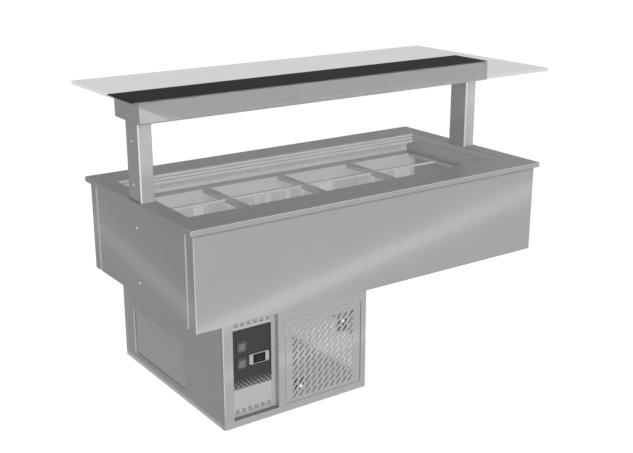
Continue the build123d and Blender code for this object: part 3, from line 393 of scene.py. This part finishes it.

# %% [markdown]
# ## Air duct
# The duct's upright wall below its ledge is dull and painted paler than its ledge, as painted light,
# and a little darker below the foot line. Pale upright ripples on it are a painted reflection of the
# well, which the thin sheet would mirror. Real dents would have to be modelled in the sheet. A noise
# that is drawn out along the height gives the streaks, and a step at the wall's foot keeps them there.

# %% Duct wall with its painted reflection ripples
DUCT_METAL = 0.3
FOOT_START, FOOT_FULL = 0.614, 0.6
duct, graph, shader, colour = stainless("stainless_duct", "x", 0.32, DUCT_METAL)
wall = upright_walls(graph)
reflection_ripple = graph.range(graph.noise(22.0, 2.0, (1.0, 1.0, 0.02)), 0.5, 0.62)
foot = graph.range(graph.coordinate("Z"), FOOT_START, FOOT_FULL)
# painted light: the upright wall is painted pale, a little darker below the foot line
painted_pale_wall = graph.blend(foot, grey(0.45), grey(0.41))
# painted reflection: pale upright ripples below the foot line
mirrored = graph.blend(0.45 * reflection_ripple * foot, painted_pale_wall, grey(0.66))
wall_painted_light = graph.blend(wall, colour, mirrored)
feed(graph, shader, base_color=wall_painted_light, metallic=DUCT_METAL - 0.2 * wall)
dress(duct, "supply_duct")

# %% [markdown]
# ## Well body
# The front and rear panels are folded round both corners, and their hems are painted pale like those
# of the end panels, as painted light. Under the rim's edge a dark line is painted as the rim's shade.
# Ambient occlusion would find that place too, but a step in the height is cheaper and has no grain.

# %% Body panels with a painted shade line under the rim
BODY_METAL = 0.6
SHADE_LINE_START, SHADE_LINE_FULL = 0.704, 0.71
shell, graph, shader, colour = stainless("stainless_body", "x", 0.33, BODY_METAL, fold=0.002)
hem = hems(graph)
# painted shade: a dark line just below the rim's edge
rim_shade = 0.5 * graph.range(graph.coordinate("Z"), SHADE_LINE_START, SHADE_LINE_FULL)
shaded_under_rim = graph.blend(rim_shade, colour, grey(0.12))
# painted light: the hems are painted pale
hems_painted_pale = graph.blend(hem, shaded_under_rim, grey(0.5))
feed(graph, shader, base_color=hems_painted_pale, metallic=BODY_METAL - 0.5 * hem)
dress(shell, "front_panel", "rear_panel")

# %% [markdown]
# ## Galvanised sheet
# The hidden sheets of the unit are zinc coated. Zinc freezes into flat crystals. They could be drawn
# as a pattern of lines, but a cell texture already gives each crystal its own grey and its own gloss.

# %% Galvanised sheet with its spangle
zinc, graph, shader = start_finish("galvanised", metallic=0.4)
cells = {"Vector": graph.place(), "Scale": 70.0}
spangle = graph.add("ShaderNodeTexVoronoi", None, cells, 1)
crystal = graph.add("ShaderNodeSeparateColor", None, {0: spangle})
zinc_colour = graph.blend(crystal, rgb(0.52, 0.54, 0.56), rgb(0.68, 0.70, 0.72))
feed(graph, shader, base_color=zinc_colour, roughness=0.32 + 0.2 * crystal)
dress(zinc, "body_base", "unit_base", "electrical_box", "fan_shroud")

# %% [markdown]
# ## Fins
# Behind the grille sits the condenser's pack of soft aluminium fins. From a step away the thin edges
# and the gaps run together into one dull face, so the normal is combed towards the front instead of
# following each fin's side. Dust greys the pack. A slanting band, bound by two slanted lines, is
# painted near white and glows in a speckle, as a painted highlight with painted glints, and the rest
# of the pack glows faintly too. Behind the grille's two screws the fins are painted black in two small
# boxes, as painted shade of nut plates that are not modelled, so the slots there look black. All of it
# could be an image, but sums stay sharp.

# %% Dusty fins with a painted highlight band and painted shade
# painted light: the whole pack glows faintly
fins, graph, shader = start_finish("fin_aluminium", metallic=0.05, emission_strength=0.4)
dust = graph.noise(26.0, 4.0)
across = graph.coordinate("X")
above = graph.coordinate("Z")
over_low_line = graph.range(above + 0.78 * across + 0.02 * dust, -0.01, 0.02)
under_high_line = graph.range(above + 1.34 * across + 0.03 * dust, 0.09, 0.06)
# painted highlight: the slanting band between the two lines
glint_band = over_low_line * under_high_line
dusty = graph.blend(dust, rgb(0.42, 0.425, 0.43), rgb(0.52, 0.525, 0.53))
band_painted_light = graph.blend(glint_band, dusty, rgb(0.98, 0.985, 0.99))
LOWER_SHADE, UPPER_SHADE = (-0.332, 0.084), (-0.149, 0.262)
SHADE_X, SHADE_Z, SHADE_SOFT = 0.024, 0.022, 0.002


def plate_shade_box(middle):
    from_x = (across - middle[0]).size()
    from_z = (above - middle[1]).size()
    beside = graph.range(from_x, SHADE_X + SHADE_SOFT, SHADE_X - SHADE_SOFT)
    return beside * graph.range(from_z, SHADE_Z + SHADE_SOFT, SHADE_Z - SHADE_SOFT)


# painted shade: black boxes behind the two screws, for plates that are not modelled
painted_plate_shade = plate_shade_box(LOWER_SHADE).most(plate_shade_box(UPPER_SHADE))
glint = graph.range(graph.noise(130.0, 2.0), 0.45, 0.6)
painted_glint = glint_band * (0.25 + 0.5 * glint)
# painted glints: the band glows in a speckle
glow = graph.blend(painted_glint, rgb(0.09, 0.09, 0.09), rgb(0.95, 0.97, 1.0))
forward = {"X": -0.3 + 0.2 * dust, "Y": -1.0, "Z": 0.2}
feed(
    graph,
    shader,
    base_color=graph.blend(painted_plate_shade, band_painted_light, rgb(0.012, 0.012, 0.012)),
    emission_color=graph.blend(painted_plate_shade, glow, rgb(0.0, 0.0, 0.0)),
    roughness=0.28 + 0.25 * dust,
    normal=graph.add("ShaderNodeCombineXYZ", None, forward),
)
dress(fins, "evaporator_coil", "condenser_coil")

# %% [markdown]
# ## Paint and copper
# The compressor and the motors have a thick black paint with an orange-peel skin. A dense noise as
# bump gives the peel, because it is far too fine to model. Copper lines darken in patches, which one
# noise with a soft step puts into the colour and the gloss at once.

# %% Black paint and copper tube
paint, graph, shader = start_finish("black_paint", coat_weight=0.25, coat_roughness=0.15)
peel = graph.noise(160.0, 2.0)
scuff = graph.noise(12.0, 5.0)
feed(
    graph,
    shader,
    base_color=graph.blend(scuff, rgb(0.012, 0.012, 0.013), rgb(0.035, 0.035, 0.037)),
    roughness=0.35 + 0.2 * scuff,
    normal=graph.bump(0.15, 0.0004, peel),
)
dress(paint, "compressor", "condenser_motor", "evaporator_motors")

copper, graph, shader = start_finish("copper_tube", metallic=1.0)
tarnish = graph.range(graph.noise(24.0, 5.0), 0.4, 0.7)
copper_colour = graph.blend(tarnish, rgb(0.78, 0.43, 0.28), rgb(0.42, 0.2, 0.13))
feed(graph, shader, base_color=copper_colour, roughness=0.22 + 0.25 * tarnish)
dress(copper, "refrigerant_pipes")

# %% [markdown]
# ## Plastics and rubber
# Moulded plastic has a fine spark-eroded skin. Each piece could have a finish written out in full, but
# they differ only in a few numbers. So one function makes them all: a dark and a light tone that
# drift slowly over the part, and a bump from a dense noise.


# %% Moulded plastics
def moulded(name, dark, light, gloss, skin=0.12, **constants):
    material, graph, shader = start_finish(name, **constants)
    drift = graph.noise(30.0, 3.0)
    pores = graph.noise(1400.0, 2.0)
    feed(
        graph,
        shader,
        base_color=graph.blend(drift, rgb(*dark), rgb(*light)),
        roughness=gloss + 0.12 * drift,
        normal=graph.bump(skin, 0.0002, pores),
    )
    return material


nylon = moulded("black_nylon", (0.012, 0.012, 0.013), (0.03, 0.03, 0.032), 0.42)
drain = moulded("grey_drain_plastic", (0.24, 0.25, 0.26), (0.33, 0.34, 0.35), 0.4)
lamp_body = moulded("white_lamp_body", (0.8, 0.8, 0.79), (0.88, 0.88, 0.87), 0.35)
foam = moulded("foam_core", (0.72, 0.62, 0.36), (0.86, 0.78, 0.52), 0.75, 0.5)
band = moulded("black_band", (0.012, 0.012, 0.0125), (0.018, 0.018, 0.0185), 0.6)
dress(nylon, "evaporator_fan_left", "evaporator_fan_right", "condenser_fan", "cable_gland")
dress(drain, "drain_spigot")
dress(lamp_body, "lamp_strip")
dress(foam, "insulation")
dress(band, "shelf_band")

# %% [markdown]
# ## Switches and controller
# The rocker switches have dark frames and grey rubber boots with a slight shine, and the temperature
# controller a pale bezel round a smoked window. They are moulded like the other plastics. The window
# could be see-through smoke plastic. It is a plain dark one with little mirror of its own, because
# nothing lies behind it in the model.

# %% Frames, boots, bezel and window
frames = moulded("grey_switch_frame", (0.045, 0.046, 0.048), (0.06, 0.061, 0.063), 0.4)
boots = moulded("grey_boot", (0.1, 0.1, 0.102), (0.13, 0.13, 0.132), 0.3, 0.05, coat_weight=0.2)
bezel = moulded("pale_bezel", (0.35, 0.35, 0.355), (0.4, 0.4, 0.405), 0.35)
SMOKE_DARK, SMOKE_LIGHT = (0.006, 0.005, 0.005), (0.01, 0.008, 0.008)
smoked = moulded("smoked_window", SMOKE_DARK, SMOKE_LIGHT, 0.1, 0.0, specular_ior_level=0.12)
keys = [f"controller_key_{n}" for n in range(1, 5)]
dress(frames, "switch_bodies")
dress(boots, "rocker_upper", "rocker_lower")
dress(bezel, "controller", *keys)
dress(smoked, "controller_window")

# %% [markdown]
# ## The lamp's diffuser
# A sheet of opal acrylic with a fine pyramid pattern closes the canopy from below. The pyramids could
# be modelled, but there are thousands. Two crossed waves make them in the normal and in the gloss; the
# sheet lets a little light through.

# %% Opal diffuser
PYRAMID_WAVES = 900.0
opal, graph, shader = start_finish("opal_diffuser", transmission_weight=0.15, ior=1.49)
wave_x = (graph.coordinate("X") * PYRAMID_WAVES).sine()
wave_y = (graph.coordinate("Y") * PYRAMID_WAVES).sine()
pyramid = 0.5 + 0.25 * (wave_x + wave_y)
milk = graph.noise(6.0, 2.0)
feed(
    graph,
    shader,
    base_color=graph.blend(milk, rgb(0.84, 0.84, 0.82), rgb(0.92, 0.92, 0.9)),
    roughness=0.3 + 0.15 * pyramid,
    normal=graph.bump(0.3, 0.0006, pyramid),
)
dress(opal, "lamp_diffuser")

# %% [markdown]
# ## The control label
# A black satin film is printed with dots that shrink towards its lower end, so the steel seems to
# come through. The dots could be an image, but a chequer of round cells is a short sum: the distance
# from each cell's middle is compared with a size that depends on the height.

# %% Black label with its dotted fade
label_low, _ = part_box("control_label")
DOT_PITCH = 0.0085
FADE_START, FADE_FULL = label_low.z - 0.012, label_low.z + 0.06
DOT_SMALL, DOT_LARGE, DOT_SOFT = 0.3, 0.75, 0.03
label, graph, shader = start_finish("label_film", specular_ior_level=0.3)
column = graph.coordinate("X") * (1.0 / DOT_PITCH)
row = graph.coordinate("Z") * (1.0 / DOT_PITCH)
squares = []
for lane in (column + row, column - row):
    from_middle = (lane * 0.5).fraction() - 0.5
    squares.append(from_middle * from_middle)
distance = (squares[0] + squares[1]) ** 0.5
dot_size = graph.range(graph.coordinate("Z"), FADE_START, FADE_FULL, DOT_SMALL, DOT_LARGE)
ink = graph.range(distance - dot_size, DOT_SOFT, -DOT_SOFT)
fibre = graph.noise(240.0, 2.0)
printed = graph.blend(fibre, rgb(0.023, 0.023, 0.025), rgb(0.029, 0.029, 0.031))
bare = graph.blend(fibre, rgb(0.19, 0.192, 0.198), rgb(0.21, 0.212, 0.218))
feed(graph, shader, base_color=graph.blend(ink, bare, printed), roughness=0.42 + 0.08 * fibre)
dress(label, "control_label")

# %% [markdown]
# ## The glass shelf
# Twelve millimetres of clear float glass. A sheet this wide shows hardly any bending of what lies
# behind it, but it takes some light away, and its ground edge is paler than its face. A low index
# keeps the view straight, a thin clear coat gives the reflection back, and a tint that follows the
# surface's direction separates face and edge. Fine wipe marks vary the gloss.

# %% Float glass
glass, graph, shader = start_finish(
    "float_glass", transmission_weight=1.0, ior=1.004, coat_roughness=0.02
)
wipe = graph.noise(3.0, 4.0, (3.0, 14.0, 1.0))
face = graph.range(graph.facing("Z").size(), 0.4, 0.9)
face_tint = graph.blend(wipe, rgb(0.645, 0.648, 0.647), rgb(0.68, 0.683, 0.682))
feed(
    graph,
    shader,
    base_color=graph.blend(face, rgb(0.69, 0.695, 0.695), face_tint),
    roughness=0.005 + 0.01 * wipe,
    coat_weight=0.22 + 0.08 * wipe,
)
dress(glass, "glass_shelf")

# %% [markdown]
# ## Digits in the display
# Behind the smoked window a red seven-segment reading glows dimly. A text object with a display font
# would need a font file. Each bar is a flat six-sided strip, so one small function draws any digit
# from the names of its lit bars.

# %% Bars of a digit
BARS = {
    "top": (0.0, 1.0, True),
    "middle": (0.0, 0.0, True),
    "bottom": (0.0, -1.0, True),
    "upper_left": (-0.5, 0.5, False),
    "upper_right": (0.5, 0.5, False),
    "lower_left": (-0.5, -0.5, False),
    "lower_right": (0.5, -0.5, False),
}
READING = [
    ["top", "upper_right", "middle", "lower_right", "bottom"],
    ["top", "upper_right", "middle", "lower_left", "bottom"],
]
DIGIT_TALL, DIGIT_WIDE, DIGIT_STEP = 0.0085, 0.0095, 0.0145
BAR_WIDE, BAR_GAP = 0.0019, 0.0004


def add_bar(mesh, centre, length, lying, depth):
    half, side = length / 2 - BAR_GAP, BAR_WIDE / 2
    inner = half - side
    outline = [(-half, 0), (-inner, side), (inner, side), (half, 0), (inner, -side), (-inner, -side)]
    points = []
    for along, across in outline:
        x, z = (along, across) if lying else (across, along)
        points.append(mesh.verts.new((centre[0] + x, depth, centre[1] + z)))
    mesh.faces.new(points if lying else points[::-1])


print("the reading has", sum(len(bars) for bars in READING), "lit bars")

# %% [markdown]
# ## The reading in its place
# The bars stand a fifth of a millimetre in front of the dark window, where the light of the real
# display comes through. They ride on the counter's own body. A dim red glow with a fine flicker in it
# keeps them from looking like paint.

# %% Seven-segment reading
READING_LIFT = 0.0002
window_low, window_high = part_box("controller_window")
middle_x = (window_low.x + window_high.x) / 2
middle_z = (window_low.z + window_high.z) / 2
digits = bmesh.new()
for number, bars in enumerate(READING):
    start_x = middle_x + (number - 0.5) * DIGIT_STEP
    for bar in bars:
        x, z, lying = BARS[bar]
        centre = (start_x + x * DIGIT_WIDE, middle_z + z * DIGIT_TALL)
        length = DIGIT_WIDE if lying else DIGIT_TALL
        add_bar(digits, centre, length, lying, window_low.y - READING_LIFT)
reading_mesh = bpy.data.meshes.new("display_reading")
digits.to_mesh(reading_mesh)
digits.free()
reading = bpy.data.objects.new("display_reading", reading_mesh)
scene.collection.objects.link(reading)
red, graph, shader = start_finish("red_segments", emission_strength=0.012, roughness=0.3)
flicker = graph.noise(900.0, 2.0)
feed(
    graph,
    shader,
    base_color=graph.blend(flicker, rgb(0.03, 0.004, 0.004), rgb(0.045, 0.006, 0.005)),
    emission_color=graph.blend(flicker, rgb(0.45, 0.02, 0.015), rgb(0.6, 0.03, 0.02)),
)
reading_mesh.materials.append(red)
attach(reading, "counter")
print("reading has", len(reading_mesh.polygons), "bars")

# %% [markdown]
# ## Camera
# The camera stands where the straight edges of the photograph put it: left of the middle and a little
# above the shelf, with a lens of about 59 mm. It could be placed by eye, but then no size in the
# picture could be compared with the model.

# %% Camera at the photograph's place
CAMERA_PLACE, CAMERA_TARGET = (-2.1863, -3.1073, 1.7122), (0.0597, 0.0966, 0.4727)


def turn_to(thing, target):
    aim = Vector(target) - thing.location
    thing.rotation_euler = aim.to_track_quat("-Z", "Y").to_euler()
    return aim.normalized()


camera_data = bpy.data.cameras.new("camera")
camera_data.lens = 59.02
camera_data.sensor_width = 36.0
camera_data.sensor_fit = "HORIZONTAL"
camera = bpy.data.objects.new("camera", camera_data)
scene.collection.objects.link(camera)
camera.location = CAMERA_PLACE
scene.camera = camera
print("camera looks along", turn_to(camera, CAMERA_TARGET))

# %% [markdown]
# ## The white room
# The counter stands on a white sweep. Steel and glass have no look of their own: they show the room,
# so the room is white for every ray that the viewer follows, straight, mirrored or through glass.
# Light that scatters on plain surfaces comes from a dimmer room, so that their colours stay as they
# are written. One strength for all rays would be simpler, but would wash the plain surfaces out.

# %% World
DIM_ROOM = 0.35
WHITE = rgb(1.0, 1.0, 1.0)


def followed(graph):
    straight = graph.add("ShaderNodeLightPath", out="Is Camera Ray")
    mirrored = graph.add("ShaderNodeLightPath", out="Is Glossy Ray")
    through = graph.add("ShaderNodeLightPath", out="Is Transmission Ray")
    return straight.most(mirrored).most(through)


scene.view_settings.view_transform = "Standard"
world = bpy.data.worlds.new("white_room")
scene.world = world
world.use_nodes = True
graph = Graph(world.node_tree)
strength = DIM_ROOM + (1 - DIM_ROOM) * followed(graph)
backdrop = graph.add("ShaderNodeBackground", None, {"Color": WHITE, "Strength": strength})
output = graph.tree.nodes.new("ShaderNodeOutputWorld")
graph.put(output.inputs[0], backdrop)
print(world.name, "has", len(graph.tree.nodes), "nodes")

# %% [markdown]
# ## Floor
# The floor is a wide white sheet. It glows a little for the rays that the viewer follows, so it runs
# into the white room without an edge, and it is plain enough below that glow to keep a faint shadow.
# More light on a white floor would do the same, but would burn out the steel.

# %% A floor that keeps the shadow
FLOOR_HALF = 30


def stage_sheet(name, corners, material):
    mesh = bpy.data.meshes.new(name)
    mesh.from_pydata(corners, [], [range(len(corners))])
    sides = mesh.uv_layers.new(name="sides")
    for loop, place in zip(sides.data, [(0, 0), (1, 0), (1, 1), (0, 1)]):
        loop.uv = place
    mesh.materials.append(material)
    sheet = bpy.data.objects.new(name, mesh)
    scene.collection.objects.link(sheet)
    return sheet


def flat_sheet(*corners, height=0.0):
    return [(x, y, height) for x, y in corners]


def rectangle(left, right, front, back, height):
    return flat_sheet((left, front), (right, front), (right, back), (left, back), height=height)


sweep, graph, _ = start_finish("white_sweep")
pale = graph.add("ShaderNodeBsdfDiffuse", None, {"Color": rgb(0.5, 0.5, 0.5)})
shaded = graph.add("ShaderNodeBsdfDiffuse", None, {"Color": rgb(0.35, 0.35, 0.35)})
glow = graph.add("ShaderNodeEmission", None, {"Color": WHITE, "Strength": 0.8})
lit = graph.add("ShaderNodeAddShader", None, {0: glow, 1: shaded})
pick = graph.add("ShaderNodeMixShader", None, {0: followed(graph), 1: pale, 2: lit})
graph.put(graph.tree.nodes["Material Output"].inputs[0], pick)
floor = stage_sheet("floor", rectangle(-FLOOR_HALF, FLOOR_HALF, -FLOOR_HALF, FLOOR_HALF, 0), sweep)
print("floor of", floor.dimensions.x, "m")

# %% [markdown]
# ## Cards
# In an all white room steel looks like paper. A photographer stands grey cards where the steel looks:
# one behind the counter, which the deck and the bars mirror, one on the floor at the left, which the
# ends mirror, and one at the right. A bright card in front of the left corner lifts the fold there.
# Narrow white strips on the floor draw the slanting highlights on the long faces. Painted highlights
# would stay in place when the view turns; cards that only mirrored rays meet move as real ones do.

# %% Cards and strips
CARD_HEIGHT, STRIP_HEIGHT = 0.002, 0.004


def card(name, corners, tone, soft=False):
    material, graph, _ = start_finish(name + "_board")
    light = graph.add("ShaderNodeEmission", None, {"Color": WHITE, "Strength": tone})
    if soft:
        across = graph.along(graph.add("ShaderNodeTexCoord", out=2), "Y")
        fade = graph.range(across, 0.0, 0.5) * graph.range(across, 1.0, 0.5)
        clear = graph.add("ShaderNodeBsdfTransparent")
        light = graph.add("ShaderNodeMixShader", None, {0: fade, 1: clear, 2: light})
    graph.put(graph.tree.nodes["Material Output"].inputs[0], light)
    sheet = stage_sheet(name, corners, material)
    sheet.visible_camera = False
    sheet.visible_diffuse = False
    sheet.visible_transmission = False
    sheet.visible_shadow = False
    print(name, "glows at", tone)


def strip(name, start, end, width, tone):
    start, end = Vector(start), Vector(end)
    along = (end - start).normalized()
    side = Vector((-along.y, along.x)) * width / 2
    outline = (start - side, end - side, end + side, start + side)
    card(name, flat_sheet(*outline, height=STRIP_HEIGHT), tone, soft=True)


corner_outline = [(-7, -5), (-0.7, -1.2), (-0.7, -0.42), (-7, -1.6)]
card("back_card", [(-14, 7, 0.0), (14, 7, 0.0), (14, 7, 4.9), (-14, 7, 4.9)], 0.3)
card("left_card", rectangle(-12, -0.66, -0.35, 7, CARD_HEIGHT), 0.64)
card("corner_card", flat_sheet(*corner_outline, height=CARD_HEIGHT), 2.6)
card("right_card", rectangle(1.5, 9, 1.2, 7, CARD_HEIGHT), 0.5)
strip("front_strip", (-0.9, -0.98), (3.6, -2.29), 0.2, 2.1)
strip("end_strip", (-1.2, 0.1), (-1.55, 2.9), 0.1, 1.1)
strip("post_strip", (0.0, -3.3), (5.5, -3.4), 0.36, 2.2)
strip("unit_strip", (-0.9, -0.74), (0.5, -0.74), 0.16, 1.6)

# %% [markdown]
# ## Lamps
# Two soft boxes draw thin bright lines along the folds. A broad fill lamp from the front lights what
# faces the viewer, as the light that a real studio's walls throw back does. It casts no shadow and
# isn't mirrored, because a studio's walls show no single lamp. A stronger key would be simpler, but
# would put a hard shadow under the glass.


# %% Soft boxes and fill
def soft_box(name, place, target, size, power):
    data = bpy.data.lights.new(name, "AREA")
    data.shape = "RECTANGLE"
    data.size, data.size_y = size
    data.energy = power
    lamp = bpy.data.objects.new(name, data)
    scene.collection.objects.link(lamp)
    lamp.location = place
    lamp.visible_camera = False
    print(name, "shines along", turn_to(lamp, target))


soft_box("key_box", (-1.4, -3.6, 2.3), (0, 0, 0.5), (1.2, 1.2), 24)
soft_box("top_box", (1.6, -1.2, 3.0), (0, 0, 0.7), (2.4, 1.2), 10)
fill = bpy.data.lights.new("fill_lamp", "SUN")
fill.energy = 2.4
fill.angle = 0.4
fill.use_shadow = False
fill_lamp = bpy.data.objects.new("fill_lamp", fill)
scene.collection.objects.link(fill_lamp)
fill_lamp.visible_glossy = False
print("fill_lamp shines along", turn_to(fill_lamp, (0.18, 0.9, -0.4)))
